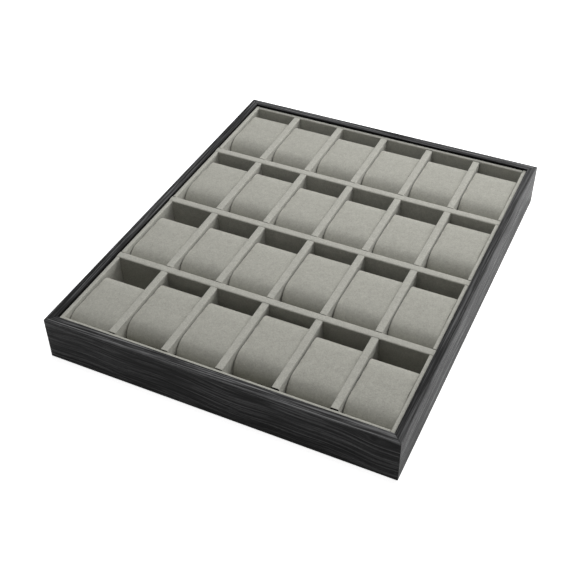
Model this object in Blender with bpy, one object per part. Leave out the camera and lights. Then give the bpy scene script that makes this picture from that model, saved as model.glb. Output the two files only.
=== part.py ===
"""Watch display tray: a low box of four mitred wood-grain rails round an insert lined in
velour, whose half-lapped dividers make six columns and four rows of compartments, each
with a soft pillow for a watch and free room behind and in front of it for the strap.

Metres, +Z up. The origin is on the underside, in the middle of the tray. The front rail
faces -Y and +X is to the right."""

from math import cos, pi, radians, sin

import bmesh
import bpy
from mathutils import Matrix

# Frame of four rails, mitred at the corners
TRAY_WIDTH = 0.365        # across, over the outer faces of the left and right rails
TRAY_DEPTH = 0.448        # front to back, over the outer faces of the front and back rails
TRAY_HEIGHT = 0.0495      # underside to the top of the rails
RAIL_THICKNESS = 0.0096
RAIL_OUTER_EASE = 0.0009  # radius of a rail's outer top and bottom edges
RAIL_INNER_EASE = 0.0004  # radius of a rail's inner top edge
MITRE_GAP = 0.0003        # hairline across each mitre

# Base panel, let into a rebate along the rails' inner bottom edge
BASE_THICKNESS = 0.003
REBATE_WIDTH = 0.005

# Hairline between pieces that touch
SEAT_GAP = 0.0003

# Lined insert
FLOOR_THICKNESS = 0.002   # covered card on the base panel
INSERT_DROP = 0.0025      # tops of the liners and dividers, below the top of the rails
LINER_THICKNESS = 0.0042  # the four walls against the rails
LONG_THICKNESS = 0.0078   # dividers that run front to back
CROSS_THICKNESS = 0.0086  # dividers that run left to right
BOARD_EASE = 0.0012       # radius of the cloth over the top edges
SLOT_CLEARANCE = 0.0003   # each side of a board in the slot that takes it
LONG_FRONT_PLAY = 0.0012  # gap between the long dividers' front ends and the front liner

# Pillows
STRAP_ROOM = 0.0224       # length of a compartment that its pillow leaves free
PILLOW_SIDE_GAP = 0.0005  # between a pillow's ends and the dividers
PILLOW_DROP = 0.003       # top of a pillow below the tops of the dividers
PILLOW_BACK_REACH = 0.010  # how far forward the rounding of the back edges goes
PILLOW_BACK_FLAT = 0.0166  # height of the upright part of the back
PILLOW_NOSE_REACH = 0.016  # how far back the rounding of the nose goes
PILLOW_NOSE_FLAT = 0.0046  # height of the upright part of the nose
PILLOW_RIM = 0.0018       # radius of the seam edge round each end

# Share of the strap room that lies behind each pillow. The first line is the row at the
# back, and each line runs from left to right.
ROOM_BEHIND = (
    (0.23, 0.34, 0.37, 0.45, 0.41, 0.38),
    (0.39, 0.37, 0.57, 0.56, 0.66, 0.24),
    (0.85, 0.57, 0.64, 0.35, 0.49, 0.55),
    (0.98, 0.38, 0.52, 0.21, 0.51, 0.73),
)
ROWS = len(ROOM_BEHIND)
COLUMNS = len(ROOM_BEHIND[0])

# Facets
EASE_SEGMENTS = 3
NOSE_SEGMENTS = 7
BACK_SEGMENTS = 5
RIM_SEGMENTS = 2
SMOOTH_ANGLE = radians(40)

# Levels
FLOOR_BOTTOM = BASE_THICKNESS + SEAT_GAP
GRID_BOTTOM = FLOOR_BOTTOM + FLOOR_THICKNESS + SEAT_GAP
GRID_TOP = TRAY_HEIGHT - INSERT_DROP
LAP_LEVEL = (GRID_BOTTOM + GRID_TOP) / 2
PILLOW_TOP = GRID_TOP - PILLOW_DROP

# Half sizes of the space inside the rails, of the insert and of the space inside the liners
INSIDE_X = TRAY_WIDTH / 2 - RAIL_THICKNESS
INSIDE_Y = TRAY_DEPTH / 2 - RAIL_THICKNESS
INSERT_X = INSIDE_X - SEAT_GAP
INSERT_Y = INSIDE_Y - SEAT_GAP
GRID_X = INSERT_X - LINER_THICKNESS
GRID_Y = INSERT_Y - LINER_THICKNESS

# Compartments
CELL_WIDTH = (2 * GRID_X - (COLUMNS - 1) * LONG_THICKNESS) / COLUMNS
CELL_DEPTH = (2 * GRID_Y - (ROWS - 1) * CROSS_THICKNESS) / ROWS
COLUMN_PITCH = CELL_WIDTH + LONG_THICKNESS
ROW_PITCH = CELL_DEPTH + CROSS_THICKNESS
PILLOW_LENGTH = CELL_DEPTH - STRAP_ROOM
PILLOW_WIDTH = CELL_WIDTH - 2 * PILLOW_SIDE_GAP


def make_material(name, colour, roughness):
    """A material of one colour."""
    material = bpy.data.materials.new(name)
    material.use_nodes = True
    shader = material.node_tree.nodes["Principled BSDF"]
    shader.inputs["Base Color"].default_value = (*colour, 1.0)
    shader.inputs["Roughness"].default_value = roughness
    shader.inputs["Metallic"].default_value = 0.0
    material.diffuse_color = (*colour, 1.0)
    return material


def make_mesh(name, bm, material):
    """Turns a bmesh into a mesh with its faces out and its round edges shaded smooth."""
    bmesh.ops.recalc_face_normals(bm, faces=bm.faces)
    mesh = bpy.data.meshes.new(name)
    bm.to_mesh(mesh)
    bm.free()
    mesh.shade_smooth()
    mesh.set_sharp_from_angle(angle=SMOOTH_ANGLE)
    mesh.materials.append(material)
    return mesh


def place(name, mesh, location, turn=0.0):
    """Puts a mesh in the scene as one piece of the tray."""
    piece = bpy.data.objects.new(name, mesh)
    piece.parent = tray
    piece.location = location
    piece.rotation_euler = (0.0, 0.0, turn)
    bpy.context.collection.objects.link(piece)
    return piece


def corner_arc(centre, reach, rise, start, segments):
    """Quarter of an ellipse that turns to the right from the angle `start`."""
    steps = [start - pi / 2 * i / segments for i in range(segments + 1)]
    return [(centre[0] + reach * cos(a), centre[1] + rise * sin(a)) for a in steps]


def rail_profile():
    """Section of a rail: distance in from its outer face, and height."""
    outer, inner = RAIL_OUTER_EASE, RAIL_INNER_EASE
    rebate_top = BASE_THICKNESS + SEAT_GAP
    rebate_side = RAIL_THICKNESS - REBATE_WIDTH
    bottom = corner_arc((outer, outer), outer, outer, 3 * pi / 2, EASE_SEGMENTS)
    top = corner_arc((outer, TRAY_HEIGHT - outer), outer, outer, pi, EASE_SEGMENTS)
    inside = corner_arc(
        (RAIL_THICKNESS - inner, TRAY_HEIGHT - inner), inner, inner, pi / 2, EASE_SEGMENTS
    )
    rebate = [(RAIL_THICKNESS, rebate_top), (rebate_side, rebate_top), (rebate_side, 0.0)]
    return bottom + top + inside + rebate


def rail_mesh(name, length):
    """A rail along X with its outer face at y = 0, cut to 45 degrees at both ends."""
    bm = bmesh.new()
    profile = rail_profile()
    saw = MITRE_GAP / 2 * 2**0.5
    rings = []
    for side in (-1, 1):
        ring = [
            bm.verts.new((side * (length / 2 - depth - saw), depth, height))
            for depth, height in profile
        ]
        bm.faces.new(ring)
        rings.append(ring)
    for i in range(len(profile)):
        j = (i + 1) % len(profile)
        bm.faces.new((rings[0][i], rings[0][j], rings[1][j], rings[1][i]))
    return make_mesh(name, bm, frame_finish)


def panel_mesh(name, half_x, half_y, thickness, material):
    """A flat sheet centred on the origin, with its underside at z = 0."""
    bm = bmesh.new()
    size = Matrix.Diagonal((2 * half_x, 2 * half_y, thickness, 1.0))
    lift = Matrix.Translation((0.0, 0.0, thickness / 2))
    bmesh.ops.create_cube(bm, size=1.0, matrix=lift @ size)
    return make_mesh(name, bm, material)


def slotted_edge(start, end, level, slots, lap):
    """One long edge of a board, stepped to the lap level wherever a slot crosses it."""
    points = []
    for low, high in slots:
        if low > start:
            points += [(low, level), (low, lap)]
        else:
            points.append((start, lap))
        if high < end:
            points += [(high, lap), (high, level)]
        else:
            points.append((end, lap))
    if not slots or slots[0][0] > start:
        points.insert(0, (start, level))
    if not slots or slots[-1][1] < end:
        points.append((end, level))
    return points


def board_mesh(name, start, end, thickness, slots=(), slots_in_top=False):
    """A lined board along X, `thickness` wide about y = 0, between the grid's levels. Its
    slots reach the middle of its height, less half a hairline."""
    if slots_in_top:
        lap = LAP_LEVEL - SEAT_GAP / 2
        top = slotted_edge(start, end, GRID_TOP, slots, lap)
        bottom = slotted_edge(start, end, GRID_BOTTOM, (), lap)
    else:
        lap = LAP_LEVEL + SEAT_GAP / 2
        top = slotted_edge(start, end, GRID_TOP, (), lap)
        bottom = slotted_edge(start, end, GRID_BOTTOM, slots, lap)
    bm = bmesh.new()
    outline = bottom + top[::-1]
    side = bm.faces.new([bm.verts.new((x, -thickness / 2, z)) for x, z in outline])
    grown = bmesh.ops.extrude_face_region(bm, geom=[side])
    moved = [v for v in grown["geom"] if isinstance(v, bmesh.types.BMVert)]
    bmesh.ops.translate(bm, verts=moved, vec=(0.0, thickness, 0.0))
    rounded = [edge for edge in bm.edges if is_top_edge(edge)]
    bmesh.ops.bevel(
        bm,
        geom=rounded,
        offset=BOARD_EASE,
        offset_type="OFFSET",
        segments=EASE_SEGMENTS,
        profile=0.5,
        affect="EDGES",
    )
    return make_mesh(name, bm, insert_cloth)


def is_top_edge(edge):
    """Whether an edge runs along the top of a board, on one of its two sides."""
    a, b = (vert.co for vert in edge.verts)
    level = (a.z + b.z) / 2 - GRID_TOP
    return abs(level) < SEAT_GAP and abs(a.y - b.y) < SEAT_GAP and a.y * b.y > 0


def pillow_profile():
    """Outline of a pillow from its side: y from its back edge at 0 to its nose, and z."""
    height = PILLOW_TOP - GRID_BOTTOM
    nose_rise = (height - PILLOW_NOSE_FLAT) / 2
    back_rise = (height - PILLOW_BACK_FLAT) / 2
    nose_y = -PILLOW_LENGTH + PILLOW_NOSE_REACH
    back_y = -PILLOW_BACK_REACH
    under_nose = corner_arc(
        (nose_y, nose_rise), PILLOW_NOSE_REACH, nose_rise, 3 * pi / 2, NOSE_SEGMENTS
    )
    over_nose = corner_arc(
        (nose_y, height - nose_rise), PILLOW_NOSE_REACH, nose_rise, pi, NOSE_SEGMENTS
    )
    over_back = corner_arc(
        (back_y, height - back_rise), PILLOW_BACK_REACH, back_rise, pi / 2, BACK_SEGMENTS
    )
    under_back = corner_arc(
        (back_y, back_rise), PILLOW_BACK_REACH, back_rise, 0.0, BACK_SEGMENTS
    )
    return under_nose + over_nose + over_back + under_back


def pillow_mesh(name):
    """A pillow across X about x = 0, standing on z = 0, with its ends' edges rounded."""
    bm = bmesh.new()
    half = PILLOW_WIDTH / 2
    end = bm.faces.new([bm.verts.new((-half, y, z)) for y, z in pillow_profile()])
    grown = bmesh.ops.extrude_face_region(bm, geom=[end])
    moved = [v for v in grown["geom"] if isinstance(v, bmesh.types.BMVert)]
    bmesh.ops.translate(bm, verts=moved, vec=(PILLOW_WIDTH, 0.0, 0.0))
    rims = [edge for edge in bm.edges if edge.verts[0].co.x == edge.verts[1].co.x]
    bmesh.ops.bevel(
        bm,
        geom=rims,
        offset=PILLOW_RIM,
        offset_type="OFFSET",
        segments=RIM_SEGMENTS,
        profile=0.5,
        affect="EDGES",
    )
    return make_mesh(name, bm, pillow_cloth)


def slot_about(centre, thickness):
    """The slot that takes a board of this thickness."""
    half = thickness / 2 + SLOT_CLEARANCE
    return (centre - half, centre + half)


for old in list(bpy.data.objects):
    bpy.data.objects.remove(old)

frame_finish = make_material("black_wood_grain", (0.030, 0.030, 0.032), 0.42)
base_finish = make_material("black_board", (0.012, 0.012, 0.012), 0.80)
insert_cloth = make_material("insert_velour", (0.440, 0.435, 0.390), 0.95)
pillow_cloth = make_material("pillow_velour", (0.400, 0.395, 0.350), 0.95)

tray = bpy.data.objects.new("watch_tray", None)
bpy.context.collection.objects.link(tray)

# Frame
end_rail = rail_mesh("end_rail", TRAY_WIDTH)
side_rail = rail_mesh("side_rail", TRAY_DEPTH)
place("front_rail", end_rail, (0.0, -TRAY_DEPTH / 2, 0.0))
place("right_rail", side_rail, (TRAY_WIDTH / 2, 0.0, 0.0), pi / 2)
place("back_rail", end_rail, (0.0, TRAY_DEPTH / 2, 0.0), pi)
place("left_rail", side_rail, (-TRAY_WIDTH / 2, 0.0, 0.0), -pi / 2)

# Base panel in its rebate, and the covered floor on it
REBATE_REACH = REBATE_WIDTH - SEAT_GAP
base = panel_mesh(
    "base_panel", INSIDE_X + REBATE_REACH, INSIDE_Y + REBATE_REACH, BASE_THICKNESS, base_finish
)
place("base_panel", base, (0.0, 0.0, 0.0))
floor = panel_mesh("floor_lining", INSERT_X, INSERT_Y, FLOOR_THICKNESS, insert_cloth)
place("floor_lining", floor, (0.0, 0.0, FLOOR_BOTTOM))

# Middles of the dividers: the long ones from left to right, the cross ones from the back
long_places = [
    -GRID_X + (i + 1) * COLUMN_PITCH - LONG_THICKNESS / 2 for i in range(COLUMNS - 1)
]
cross_places = [
    GRID_Y - (i + 1) * ROW_PITCH + CROSS_THICKNESS / 2 for i in range(ROWS - 1)
]

# Liners: the side ones run the whole way and are notched from above for the cross dividers
LINER_X = INSERT_X - LINER_THICKNESS / 2
LINER_Y = INSERT_Y - LINER_THICKNESS / 2
END_HALF = GRID_X - SEAT_GAP
end_liner = board_mesh("end_liner", -END_HALF, END_HALF, LINER_THICKNESS)
notches = [slot_about(y, CROSS_THICKNESS) for y in sorted(cross_places)]
side_liner = board_mesh("side_liner", -INSERT_Y, INSERT_Y, LINER_THICKNESS, notches, True)
place("front_liner", end_liner, (0.0, -LINER_Y, 0.0))
place("back_liner", end_liner, (0.0, LINER_Y, 0.0))
place("left_liner", side_liner, (-LINER_X, 0.0, 0.0), pi / 2)
place("right_liner", side_liner, (LINER_X, 0.0, 0.0), pi / 2)

# Dividers that run front to back, slotted from above for the cross dividers
long_divider = board_mesh(
    "long_divider", -GRID_Y + LONG_FRONT_PLAY, GRID_Y - SEAT_GAP, LONG_THICKNESS, notches, True
)
for number, x in enumerate(long_places, 1):
    place(f"long_divider_{number}", long_divider, (x, 0.0, 0.0), pi / 2)

# Dividers that run left to right, slotted from below for the long ones and the side liners
NOTCHED_END = GRID_X - SLOT_CLEARANCE
slots = [slot_about(x, LONG_THICKNESS) for x in long_places]
slots = [(-INSERT_X, -NOTCHED_END), *slots, (NOTCHED_END, INSERT_X)]
cross_divider = board_mesh("cross_divider", -INSERT_X, INSERT_X, CROSS_THICKNESS, slots)
for number, y in enumerate(cross_places, 1):
    place(f"cross_divider_{number}", cross_divider, (0.0, y, 0.0))

# One pillow in each compartment
pillow = pillow_mesh("pillow")
for row, shares in enumerate(ROOM_BEHIND):
    for column, share in enumerate(shares):
        x = -GRID_X + CELL_WIDTH / 2 + column * COLUMN_PITCH
        y = GRID_Y - row * ROW_PITCH - share * STRAP_ROOM
        place(f"pillow_row{row + 1}_col{column + 1}", pillow, (x, y, GRID_BOTTOM))
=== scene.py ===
"""Watch display tray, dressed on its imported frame.

Metres, +Z up, the front rail faces -Y and +X is to the right. The rails, base, floor,
liners and dividers are the frame's own pieces in better materials. Each pillow is a sewn
cover with two end panels, swollen in a cloth simulation over the space of its solid."""

from math import cos, exp, log, pi, radians, sin

import bpy
from mathutils import Matrix, Vector, noise


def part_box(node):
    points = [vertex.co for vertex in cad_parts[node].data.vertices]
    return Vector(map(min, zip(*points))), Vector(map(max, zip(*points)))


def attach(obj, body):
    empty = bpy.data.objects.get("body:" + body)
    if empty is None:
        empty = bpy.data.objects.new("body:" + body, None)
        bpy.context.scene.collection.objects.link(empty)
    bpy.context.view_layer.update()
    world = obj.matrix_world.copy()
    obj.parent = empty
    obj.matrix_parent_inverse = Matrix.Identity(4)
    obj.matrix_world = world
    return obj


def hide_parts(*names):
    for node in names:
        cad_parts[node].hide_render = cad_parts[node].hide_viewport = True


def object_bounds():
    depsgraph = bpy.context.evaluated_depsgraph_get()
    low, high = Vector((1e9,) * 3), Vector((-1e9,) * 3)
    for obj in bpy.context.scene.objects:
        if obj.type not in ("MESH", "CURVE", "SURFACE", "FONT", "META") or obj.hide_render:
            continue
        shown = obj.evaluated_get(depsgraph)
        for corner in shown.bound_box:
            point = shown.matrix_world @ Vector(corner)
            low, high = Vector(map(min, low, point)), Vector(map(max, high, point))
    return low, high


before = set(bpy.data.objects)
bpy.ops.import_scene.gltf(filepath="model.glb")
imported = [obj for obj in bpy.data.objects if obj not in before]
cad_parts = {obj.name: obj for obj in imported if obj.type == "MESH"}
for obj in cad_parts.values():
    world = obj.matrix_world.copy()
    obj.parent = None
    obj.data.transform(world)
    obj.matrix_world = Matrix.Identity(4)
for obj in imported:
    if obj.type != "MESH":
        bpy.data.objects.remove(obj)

CAD_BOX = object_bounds()

# Camera, fitted to the corners of the rails and dividers
LENS = 60.762
CAMERA_PLACE = (0.32563, -0.73349, 0.68926)
CAMERA_RIGHT = (0.90407, 0.42731, -0.01037)
CAMERA_UP = (-0.27667, 0.60354, 0.74782)
CAMERA_FORWARD = (-0.32585, 0.67317, -0.66379)

# Studio
LIGHT_TARGET = (0.0, 0.0, 0.04)
LIGHTS = {                # place, size and power in watts
    "back": ((0.46, 1.16, 0.62), (0.95, 1.05), 19.4),
    "top": ((0.0, 0.05, 0.85), (0.7, 0.7), 4.7),
}
EVEN_LIGHT = 0.05         # strength of the light from all round
FLOOR_REACH = 6.0
FLOOR_DROP = 0.0004       # the floor lies this far below the tray
FLOOR_TONE = 0.86
NEAR_GLOW = 0.86          # the floor's own light near the tray, which lets its shadow show
GLOW_SPAN = (0.4, 1.8)    # over these distances from the tray's middle the glow goes up to 1
# Painted shadow: the glow that the finish reflects is dimmed near the tray
MIRRORED_GLOW = (0.52, 0.92)            # share seen in the finish, at the tray and clear of it
CLEAR_OF_TRAY = 0.05

# Wood-grain finish
RAIL = 0.0096             # thickness of the rails
# The last two columns are painted light and shade, lightening or darkening the outer side and the
# top
RAILS = {                 # material, runs along Y, heart, lean, tones of the side and the top
    "front_rail": ("grain_front", False, (0.02, -0.150, 0.020), 0.014, 1.32, 1.60),
    "back_rail": ("grain_back", False, (-0.05, 0.290, 0.012), -0.012, 0.50, 1.60),
    "left_rail": ("grain_left", True, (-0.115, 0.05, 0.010), 0.010, 1.00, 1.14),
    "right_rail": ("grain_right", True, (0.105, -0.03, 0.015), -0.012, 1.00, 0.76),
}
# Layers of streaks: stretch, scale, detail and roughness of the noise, where its ramp is darkest
# and how dark, where the ramp is lightest, and the layer's weight
STREAKS = (
    (0.035, 120.0, 3.0, 0.55, 0.36, 0.50, 0.64, 1.0),
    (0.022, 400.0, 3.0, 0.72, 0.42, 0.10, 0.56, 1.0),
    (0.018, 850.0, 2.0, 0.60, 0.42, 0.16, 0.56, 0.9),
    (0.080, 1700.0, 1.0, 0.50, 0.36, 0.30, 0.46, 0.8),
)
SWAY = 0.020              # how far the fibres sway up and down on the outer side
# Distances below the top, or in from the outer side, where each of these begins and is full
SWAY_BELOW = (0.0015, 0.0070)
# Where the top's painted light and shade takes over from the side's
TOP_LIGHT_PAINT_BELOW = (0.0010, 0.0004)
# Painted highlight along the outer top edge of the rails
HIGHLIGHT_BELOW, HIGHLIGHT_IN = (0.0012, 0.0002), (0.0017, 0.0004)
# Painted shade on the inner side of the rails
INNER_SHADE_IN = (RAIL - 0.0007, RAIL)
DARK_STAIN = (0.0065, 0.0065, 0.0067)
MID_STAIN = (0.0270, 0.0270, 0.0277)
LIGHT_STAIN = (0.0950, 0.0950, 0.0970)
PALE_LINES = (0.130, 0.130, 0.132)
# Colour of the painted highlight on the outer top edge
PAINTED_EDGE_HIGHLIGHT = (0.150, 0.150, 0.152)
# Colour of the painted shade on the inner side
INNER_SHADE = (0.006, 0.006, 0.006)

# Velour
LINING = (0.440, 0.435, 0.392)
PILLOW_NAP = (0.405, 0.400, 0.358)
# Tone that dividers 4 and 5 take at their two ends
NEAR_BLACK_END = (0.022, 0.020, 0.016)
SHEEN_TINT = (0.93, 0.93, 0.90)
LINING_PILE, PILLOW_PILE = 0.006, 0.005  # size of the brushed patches
# Painted shade on a pillow's two ends and where the nap turns over to them
END_SHADE = 0.35             # tone of the nap where it turns over a pillow's sewn edges

# Pillow cover
SPACING = 0.0034          # between the cover's points
NOSE_REACH, NOSE_FLAT = 0.016, 0.0046   # the solid's rounding, seen from its side
BACK_REACH, BACK_FLAT = 0.010, 0.0166
QUARTER_STEPS = 12
RIM_RADIUS = 0.0009       # rounding between the band and an end panel
RIM_TURNS = (80, 63, 51, 39, 18)        # degrees round the rim, from the panel to the band
SEAM_TURN = 51
BOW = 0.0009              # the long sides start this far out, for the cover draws them in
CROWN = 0.05              # share of its height that the top has lost at the front and the back
SEAM_DEPTH = 0.0003
PANEL_RINGS = 6
SLACK = (0.0003, 0.0005, 0.0007)        # the cover starts this much inside its solid, then swells
CLOTH_FRAMES = 20
CLOTH_PRESSURE = 1.8
PRESSURE_SPREAD = 0.4     # each pillow is filled a little more or less than the next
PRESSURE_STEP = 7.31      # from pillow to pillow through the noise that sets its filling
SWELL_CAP = 0.0026        # furthest that a point of a cover may move in the simulation
SOFT_LIMIT = 0.0002       # softness of a cover's stop at its solid's sides


# Node trees

class Graph:
    """The node tree of a material or of the world, built a node at a time."""

    def __init__(self, owner):
        owner.use_nodes = True
        self.owner = owner
        self.tree = owner.node_tree
        self.shader = self.tree.nodes.get("Principled BSDF")

    def feed(self, socket, value):
        """Links another node's output to the socket, or sets the socket to a constant."""
        if isinstance(value, bpy.types.NodeSocket):
            self.tree.links.new(value, socket)
        elif socket.type == "RGBA":
            socket.default_value = (*value, 1.0)
        else:
            socket.default_value = value

    def node(self, kind, inputs=None, **attributes):
        made = self.tree.nodes.new(kind)
        for key, value in attributes.items():
            setattr(made, key, value)
        for key, value in (inputs or {}).items():
            self.feed(made.inputs[key], value)
        return made

    def shade(self, inputs):
        for key, value in inputs.items():
            self.feed(self.shader.inputs[key], value)

    def math(self, operation, a, b=0.0):
        return self.node("ShaderNodeMath", {0: a, 1: b}, operation=operation).outputs[0]

    def span(self, source, low, high):
        """0 at `low` and before it, 1 at `high` and past it."""
        limits = {"Value": source, "From Min": low, "From Max": high}
        return self.node("ShaderNodeMapRange", limits).outputs["Result"]

    def mix(self, fac, a, b, blend="MIX"):
        sockets = {0: fac, 6: a, 7: b}
        return self.node("ShaderNodeMix", sockets, data_type="RGBA", blend_type=blend).outputs[2]

    def ramp(self, source, *stops):
        """A colour ramp with these (place, colour) stops."""
        made = self.node("ShaderNodeValToRGB", {"Fac": source})
        elements = made.color_ramp.elements
        for place, colour in stops[2:]:
            elements.new(place)
        for element, (place, colour) in zip(elements, stops):
            element.position = place
            element.color = (*colour, 1.0)
        return made.outputs["Color"]

    def place(self):
        return self.node("ShaderNodeTexCoord").outputs["Object"]

    def split(self, vector):
        return self.node("ShaderNodeSeparateXYZ", {"Vector": vector}).outputs

    def noise(self, vector, scale, detail, roughness=0.5, distortion=0.0):
        look = {"Scale": scale, "Detail": detail, "Roughness": roughness, "Distortion": distortion}
        return self.node("ShaderNodeTexNoise", {"Vector": vector, **look}).outputs["Fac"]

    def bump(self, height, strength, distance):
        look = {"Height": height, "Strength": strength, "Distance": distance}
        return self.node("ShaderNodeBump", look).outputs["Normal"]


def grey(value):
    return (value, value, value)


# Materials

def wood_grain(name, along_y, heart, lean, side_light_paint, top_light_paint):
    """Black stained wood-grain finish whose fibres run along X, or along Y. `heart` is a
    point on the axis of the growth rings and `lean` tips the fibres a little, which sway up
    and down on the outer side. The last two arguments are painted light and shade: they
    lighten or darken the outer side and the top. A painted highlight runs along the outer
    top edge, and painted shade turns the inner side near black."""
    g = Graph(bpy.data.materials.new(name))
    place = g.place()
    parts = g.split(place)
    depth = g.math("SUBTRACT", CAD_BOX[1].z, parts["Z"])
    across, side = ("X", CAD_BOX[1].x) if along_y else ("Y", CAD_BOX[1].y)
    inward = g.math("SUBTRACT", side, g.math("ABSOLUTE", parts[across]))
    turn = (0.0, lean, (pi / 2 if along_y else 0.0) + lean)
    turned = g.node(
        "ShaderNodeMapping", {"Vector": place, "Location": heart, "Rotation": turn},
        vector_type="TEXTURE",
    ).outputs["Vector"]
    slow = g.node("ShaderNodeMapping", {"Vector": turned, "Scale": (1.0, 0.3, 0.3)})
    sway = g.noise(slow.outputs["Vector"], 10.0, 1.0)
    below = g.span(depth, *SWAY_BELOW)
    lift = g.math("MULTIPLY", g.math("SUBTRACT", sway, 0.5), SWAY)
    lift = g.node("ShaderNodeCombineXYZ", {"Z": g.math("MULTIPLY", lift, below)})
    board = g.node("ShaderNodeVectorMath", {0: turned, 1: lift.outputs["Vector"]})

    def stretched(stretch):
        inputs = {"Vector": board.outputs["Vector"], "Scale": (stretch, 1.0, 1.0)}
        return g.node("ShaderNodeMapping", inputs).outputs["Vector"]

    def streaks(stretch, scale, detail, roughness):
        return g.noise(stretched(stretch), scale, detail, roughness)

    rings = g.node(
        "ShaderNodeTexWave",
        {
            "Vector": stretched(0.10), "Scale": 150.0, "Distortion": 6.0, "Detail": 3.0,
            "Detail Scale": 0.42, "Detail Roughness": 0.60,
        },
        wave_type="RINGS", rings_direction="X",
    )
    tone = g.ramp(rings.outputs["Fac"], (0.10, grey(0.34)), (0.75, grey(1.0)))
    for *look, dark_place, dark_tone, light_place, weight in STREAKS:
        layer = g.ramp(streaks(*look), (dark_place, grey(dark_tone)), (light_place, grey(1.0)))
        tone = g.mix(weight, tone, layer, "MULTIPLY")
    colour = g.ramp(tone, (0.01, DARK_STAIN), (0.22, MID_STAIN), (0.90, LIGHT_STAIN))
    pale = g.ramp(streaks(0.013, 560.0, 2.0, 0.60), (0.54, grey(0.0)), (0.68, grey(1.0)))
    fainter = g.math("SUBTRACT", 1.0, g.math("MULTIPLY", below, 0.3))
    colour = g.mix(g.math("MULTIPLY", pale, fainter), colour, PALE_LINES)
    # Painted light and shade: the outer side and the top each get their own lighter or darker tone
    face_light_paint = g.mix(g.span(depth, *TOP_LIGHT_PAINT_BELOW), grey(side_light_paint), grey(top_light_paint))
    colour = g.mix(1.0, colour, face_light_paint, "MULTIPLY")
    # Painted highlight along the outer top edge, in patches
    edge_highlight = g.math("MULTIPLY", g.span(inward, *HIGHLIGHT_IN), g.span(depth, *HIGHLIGHT_BELOW))
    patchy = g.span(streaks(0.25, 60.0, 3.0, 0.6), 0.30, 0.62)
    colour = g.mix(g.math("MULTIPLY", edge_highlight, patchy), colour, PAINTED_EDGE_HIGHLIGHT)
    # Painted shade: the inner side of each rail goes near black
    inner = g.span(inward, *INNER_SHADE_IN)
    g.shade({
        "Base Color": g.mix(inner, colour, INNER_SHADE),
        "Roughness": g.ramp(tone, (0.0, grey(0.46)), (0.6, grey(0.28))),
        "Normal": g.bump(tone, 0.6, 0.00025),
        "IOR": 1.46,
        "Specular IOR Level": 0.065,
    })
    return g.owner


def velour(name, colour, pile, cut=None, crease=None):
    """Short dense nap. `pile` is the size of its brushed patches, in metres. Past `cut`
    from the middle, front and back, it turns near black. The last argument is painted
    shade: it darkens the nap on a pillow's two ends and where it turns over the sewn edges."""
    g = Graph(bpy.data.materials.new(name))
    place = g.place()
    patches = g.noise(place, 1.0 / pile, 3.0, 0.55, 0.6)
    flecks = g.noise(place, 620.0, 3.0, 0.7)
    nap = g.noise(place, 2100.0, 2.0)
    cells = g.node("ShaderNodeTexVoronoi", {"Vector": place, "Scale": 1500.0})
    tone = g.ramp(patches, (0.3, grey(0.93)), (0.7, grey(1.06)))
    for source, dark, light in ((flecks, 0.84, 1.10), (nap, 0.87, 1.09)):
        layer = g.ramp(source, (0.3, grey(dark)), (0.7, grey(light)))
        tone = g.mix(1.0, tone, layer, "MULTIPLY")
    tone = g.mix(1.0, tone, colour, "MULTIPLY")
    # Near black at both ends, front and back
    if cut:
        away = g.math("ABSOLUTE", g.split(place)["Y"])
        tone = g.mix(g.span(away, cut - 0.0005, cut - 0.0001), tone, NEAR_BLACK_END)
    # Painted shade on the pillow's two ends and their rims
    if crease:
        facing = g.split(g.node("ShaderNodeTexCoord").outputs["Normal"])["X"]
        turned = g.span(g.math("ABSOLUTE", facing), 0.25, 0.70)
        tone = g.mix(turned, tone, tuple(value * crease for value in colour))
    fuzz = g.math("ADD", g.math("ADD", nap, cells.outputs["Distance"]), flecks)
    g.shade({
        "Base Color": tone,
        "Roughness": g.ramp(flecks, (0.3, grey(0.84)), (0.7, grey(0.98))),
        "Normal": g.bump(fuzz, 0.5, 0.00018),
        "Sheen Weight": 0.28,
        "Sheen Roughness": 0.42,
        "Sheen Tint": SHEEN_TINT,
        "Specular IOR Level": 0.02,
        "IOR": 1.45,
    })
    return g.owner


def pressed_board(name):
    """Dark hard fibreboard of the base."""
    g = Graph(bpy.data.materials.new(name))
    place = g.place()
    fibre = g.noise(place, 900.0, 4.0)
    tone = g.mix(0.5, fibre, g.noise(place, 35.0, 2.0))
    g.shade({
        "Base Color": g.ramp(tone, (0.3, grey(0.008)), (0.7, grey(0.022))),
        "Roughness": g.ramp(tone, (0.3, grey(0.88)), (0.7, grey(0.68))),
        "Normal": g.bump(fibre, 0.4, 0.0002),
    })
    return g.owner


def finish_nodes():
    """Gives the frame's own pieces their materials."""
    board_end = -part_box("long_divider_1")[0].y
    dark_end = velour("dark_end_velour", LINING, LINING_PILE, cut=board_end)
    finishes = {piece: wood_grain(*look) for piece, look in RAILS.items()}
    finishes["base_panel"] = pressed_board("base_board")
    finishes["long_divider_4"] = finishes["long_divider_5"] = dark_end
    lining = velour("insert_velour", LINING, LINING_PILE)
    for name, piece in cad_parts.items():
        if name.startswith("pillow"):
            continue
        for slot in piece.material_slots:
            slot.link = "OBJECT"
            slot.material = finishes.get(name, lining)


# Pillows

def quarter(centre, reach, rise, start):
    """Points of a quarter of an ellipse, clockwise from the angle `start`."""
    angles = [start - pi / 2 * i / QUARTER_STEPS for i in range(QUARTER_STEPS + 1)]
    return [Vector((centre[0] + reach * cos(a), centre[1] + rise * sin(a))) for a in angles]


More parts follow.
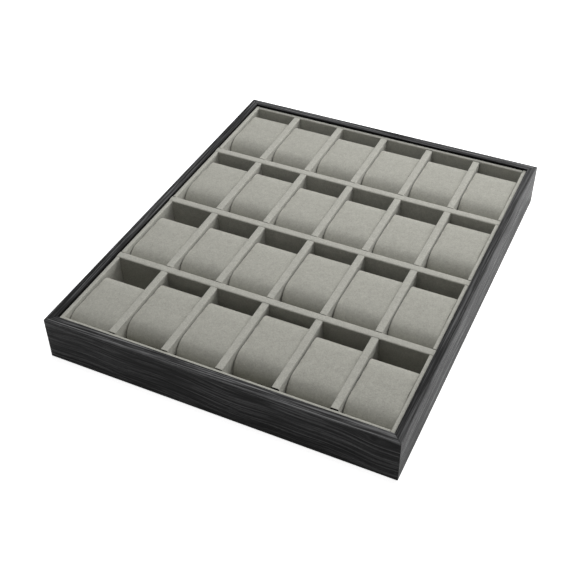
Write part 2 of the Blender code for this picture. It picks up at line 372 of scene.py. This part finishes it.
def side_outline(length, height):
    """Side view of a pillow in even steps: y from its middle, -length / 2 at the nose, and
    z from its middle."""
    nose, back = length / 2 - NOSE_REACH, length / 2 - BACK_REACH
    nose_rise, back_rise = (height - NOSE_FLAT) / 2, (height - BACK_FLAT) / 2
    path = (
        quarter((-nose, -NOSE_FLAT / 2), NOSE_REACH, nose_rise, 3 * pi / 2)
        + quarter((-nose, NOSE_FLAT / 2), NOSE_REACH, nose_rise, pi)
        + quarter((back, BACK_FLAT / 2), BACK_REACH, back_rise, pi / 2)
        + quarter((back, -BACK_FLAT / 2), BACK_REACH, back_rise, 0.0)
    )
    path.append(path[0])
    lengths = [(b - a).length for a, b in zip(path, path[1:])]
    count = round(sum(lengths) / SPACING)
    points, passed, leg = [], 0.0, 0
    for n in range(count):
        want = sum(lengths) * n / count
        while passed + lengths[leg] < want:
            passed += lengths[leg]
            leg += 1
        points.append(path[leg].lerp(path[leg + 1], (want - passed) / lengths[leg]))
    return points


def inset(points, depth):
    """The closed outline, moved in by `depth`. It runs clockwise."""
    moved = []
    for before, point, after in zip(points[-1:] + points, points, points[1:] + points[:1]):
        along = (after - before).normalized()
        moved.append(point + depth * Vector((along.y, -along.x)))
    return moved


def cover_rings(half, length, height):
    """Rings of a pillow's cover from its left end to its right: x, outline and kind."""
    outer = side_outline(length, height)
    panel = inset(outer, RIM_RADIUS)
    end = [
        (half, [p * (i / PANEL_RINGS) for p in panel], "panel")
        for i in range(1, PANEL_RINGS + 1)
    ]
    for turn in RIM_TURNS:
        a = radians(turn)
        kind = "seam" if turn == SEAM_TURN else "rim"
        depth = RIM_RADIUS * (1 - cos(a))
        end.append((half - RIM_RADIUS * (1 - sin(a)), inset(outer, depth), kind))
    edge = half - RIM_RADIUS
    count = round(2 * edge / SPACING)
    band = [(-edge + 2 * edge * i / count, outer, "band") for i in range(count + 1)]
    left = [(-x, points, kind) for x, points, kind in end]
    return left + band + end[::-1]


def cover_mesh(name, low, high):
    """A pillow's cover before it swells: a band round the outline and two end panels.
    Returns the mesh and the indices of the points on its two sewn seams."""
    middle = (low + high) / 2
    half, deep, tall = (size / 2 - slack for size, slack in zip(high - low, SLACK))
    rings = cover_rings(half, 2 * deep, 2 * tall)
    verts = [middle + Vector((-half, 0.0, 0.0))]
    seams = []
    for x, points, kind in rings:
        if kind == "seam":
            seams.extend(range(len(verts), len(verts) + len(points)))
        for p in points:
            away = (p.x / deep) ** 2
            bow = BOW * (1 - away) * x / half
            fall = CROWN * away * max(p.y, 0.0)
            verts.append(middle + Vector((x + bow, p.x, p.y - fall)))
    verts.append(middle + Vector((half, 0.0, 0.0)))
    count, last = len(rings[0][1]), len(verts) - 1
    faces = []
    for i in range(count):
        j = (i + 1) % count
        faces.append((0, 1 + i, 1 + j))
        for r in range(len(rings) - 1):
            a, b = 1 + r * count, 1 + (r + 1) * count
            faces.append((a + i, b + i, b + j, a + j))
        faces.append((last - count + i, last, last - count + j))
    mesh = bpy.data.meshes.new(name)
    mesh.from_pydata(verts, [], faces)
    return mesh, seams


def add_cloth(cover, pressure):
    cloth = cover.modifiers.new("swell", "CLOTH")
    fabric = cloth.settings
    fabric.quality = 5
    fabric.mass = 0.25
    fabric.tension_stiffness = fabric.compression_stiffness = 15.0
    fabric.shear_stiffness = 7.5
    fabric.bending_stiffness = 0.6
    fabric.use_pressure = True
    fabric.uniform_pressure_force = pressure
    fabric.effector_weights.gravity = 0.0
    cloth.collision_settings.use_collision = False
    cloth.collision_settings.use_self_collision = False
    cloth.point_cache.frame_start = 1
    cloth.point_cache.frame_end = CLOTH_FRAMES


def swell(covers):
    """Fills the covers in a cloth simulation and keeps the shapes that they take."""
    for number, cover in enumerate(covers):
        more = noise.noise(Vector((number * PRESSURE_STEP, 0.5, 0.5)))
        add_cloth(cover, CLOTH_PRESSURE + PRESSURE_SPREAD * more)
    for number in range(1, CLOTH_FRAMES + 1):
        bpy.context.scene.frame_set(number)
    graph = bpy.context.evaluated_depsgraph_get()
    swollen = [bpy.data.meshes.new_from_object(cover.evaluated_get(graph)) for cover in covers]
    for cover, mesh in zip(covers, swollen):
        cover.modifiers.clear()
        cover.data = mesh


def soft_stop(value, low, high):
    """Eases a coordinate to a stop at its solid's two sides."""
    to_high = -SOFT_LIMIT * log(exp((value - high) / SOFT_LIMIT) + 1.0) + value
    return SOFT_LIMIT * log(exp((low - to_high) / SOFT_LIMIT) + 1.0) + to_high


def fit_cover(cover, starts, low, high):
    """Caps how far a cover has swollen and keeps it inside its solid's space."""
    for start, vert in zip(starts, cover.data.vertices):
        move = vert.co - start
        if move.length > SWELL_CAP:
            move *= SWELL_CAP / move.length
        for axis in range(3):
            vert.co[axis] = soft_stop(start[axis] + move[axis], low[axis], high[axis])


def sew(cover, seams):
    """Draws the seams into the cover."""
    depths = {i: cover.data.vertices[i].normal * SEAM_DEPTH for i in seams}
    for i, depth in depths.items():
        cover.data.vertices[i].co -= depth


def make_pillows():
    fabric = velour("pillow_velour", PILLOW_NAP, PILLOW_PILE, crease=END_SHADE)
    covers, shapes = [], []
    for name in sorted(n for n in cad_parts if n.startswith("pillow")):
        low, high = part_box(name)
        mesh, seams = cover_mesh("cover_" + name, low, high)
        cover = bpy.data.objects.new("cover_" + name, mesh)
        bpy.context.collection.objects.link(cover)
        covers.append(cover)
        shapes.append((name, low, high, seams, [v.co.copy() for v in mesh.vertices]))
    swell(covers)
    for cover, (name, low, high, seams, starts) in zip(covers, shapes):
        fit_cover(cover, starts, low, high)
        sew(cover, seams)
        cover.data.materials.clear()
        cover.data.materials.append(fabric)
        cover.data.shade_smooth()
        smooth = cover.modifiers.new("smooth", "SUBSURF")
        smooth.levels = smooth.render_levels = 1
        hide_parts(name)
        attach(cover, "root")


# Studio

def make_camera():
    camera = bpy.data.cameras.new("camera")
    camera.lens = LENS
    camera.sensor_width = 36.0
    camera.clip_start, camera.clip_end = 0.01, 50.0
    holder = bpy.data.objects.new("camera", camera)
    bpy.context.collection.objects.link(holder)
    back = [-v for v in CAMERA_FORWARD]
    turn = Matrix((CAMERA_RIGHT, CAMERA_UP, back)).transposed()
    holder.matrix_world = Matrix.Translation(CAMERA_PLACE) @ turn.to_4x4()
    bpy.context.scene.camera = holder


def make_light(name, place, size, power):
    lamp = bpy.data.lights.new(name, "AREA")
    lamp.shape = "RECTANGLE"
    lamp.size, lamp.size_y = size
    lamp.energy = power
    holder = bpy.data.objects.new(name, lamp)
    bpy.context.collection.objects.link(holder)
    aim = Vector(LIGHT_TARGET) - Vector(place)
    holder.location = place
    holder.rotation_euler = aim.to_track_quat("-Z", "Y").to_euler()


def make_floor():
    """Pale floor. Its glow makes it white to the camera and in the finish, a little less so
    near the tray, and leaves the light on the tray alone. Close to the tray the glow seen in
    the finish is dimmed further: a painted shadow in the rails' reflections."""
    mesh = bpy.data.meshes.new("floor")
    turns = ((-1, -1), (1, -1), (1, 1), (-1, 1))
    corners = [(x * FLOOR_REACH, y * FLOOR_REACH, 0.0) for x, y in turns]
    mesh.from_pydata(corners, [], [(0, 1, 2, 3)])
    floor = bpy.data.objects.new("floor", mesh)
    floor.location.z = -FLOOR_DROP
    bpy.context.collection.objects.link(floor)
    g = Graph(bpy.data.materials.new("pale_floor"))
    g.shade({"Base Color": grey(FLOOR_TONE), "Roughness": 0.9, "Specular IOR Level": 0.1})
    place = g.place()
    away = g.node("ShaderNodeVectorMath", {0: place}, operation="LENGTH").outputs["Value"]
    white = g.math("MULTIPLY", g.span(away, *GLOW_SPAN), 1.0 - NEAR_GLOW)
    white = g.math("ADD", white, NEAR_GLOW)
    parts = g.split(place)
    # Painted shadow: the glow that the rails reflect is dimmer close to the tray
    clear = g.math("MAXIMUM", *(
        g.span(g.math("ABSOLUTE", parts[axis]), edge, edge + CLEAR_OF_TRAY)
        for axis, edge in (("X", CAD_BOX[1].x), ("Y", CAD_BOX[1].y))
    ))
    least, most = MIRRORED_GLOW
    mirrored = g.math("ADD", g.math("MULTIPLY", clear, most - least), least)
    path = g.node("ShaderNodeLightPath").outputs
    mirrored = g.math("MULTIPLY", path["Is Glossy Ray"], mirrored)
    seen = g.math("MAXIMUM", path["Is Camera Ray"], mirrored)
    seen = g.math("MAXIMUM", seen, path["Is Transmission Ray"])
    glow = g.node("ShaderNodeEmission", {"Strength": g.math("MULTIPLY", seen, white)})
    both = g.node(
        "ShaderNodeAddShader", {0: g.shader.outputs["BSDF"], 1: glow.outputs["Emission"]}
    )
    g.feed(g.tree.nodes["Material Output"].inputs["Surface"], both.outputs["Shader"])
    mesh.materials.append(g.owner)


def make_world():
    """Faint even light, and white where the world is seen."""
    world = bpy.data.worlds.new("studio")
    bpy.context.scene.world = world
    g = Graph(world)
    path = g.node("ShaderNodeLightPath").outputs
    seen = g.math("MAXIMUM", path["Is Camera Ray"], path["Is Glossy Ray"])
    seen = g.math("MAXIMUM", seen, path["Is Transmission Ray"])
    even = g.tree.nodes["Background"]
    g.feed(even.inputs["Color"], grey(1.0))
    g.feed(even.inputs["Strength"], EVEN_LIGHT)
    white = g.node("ShaderNodeBackground", {"Color": grey(1.0), "Strength": 1.0})
    backgrounds = {1: even.outputs["Background"], 2: white.outputs["Background"]}
    choose = g.node("ShaderNodeMixShader", {"Fac": seen, **backgrounds})
    g.feed(g.tree.nodes["World Output"].inputs["Surface"], choose.outputs["Shader"])


finish_nodes()
make_pillows()
make_camera()
for light, (place, size, power) in LIGHTS.items():
    make_light(light, place, size, power)
make_floor()
make_world()
bpy.context.scene.view_settings.view_transform = "Standard"
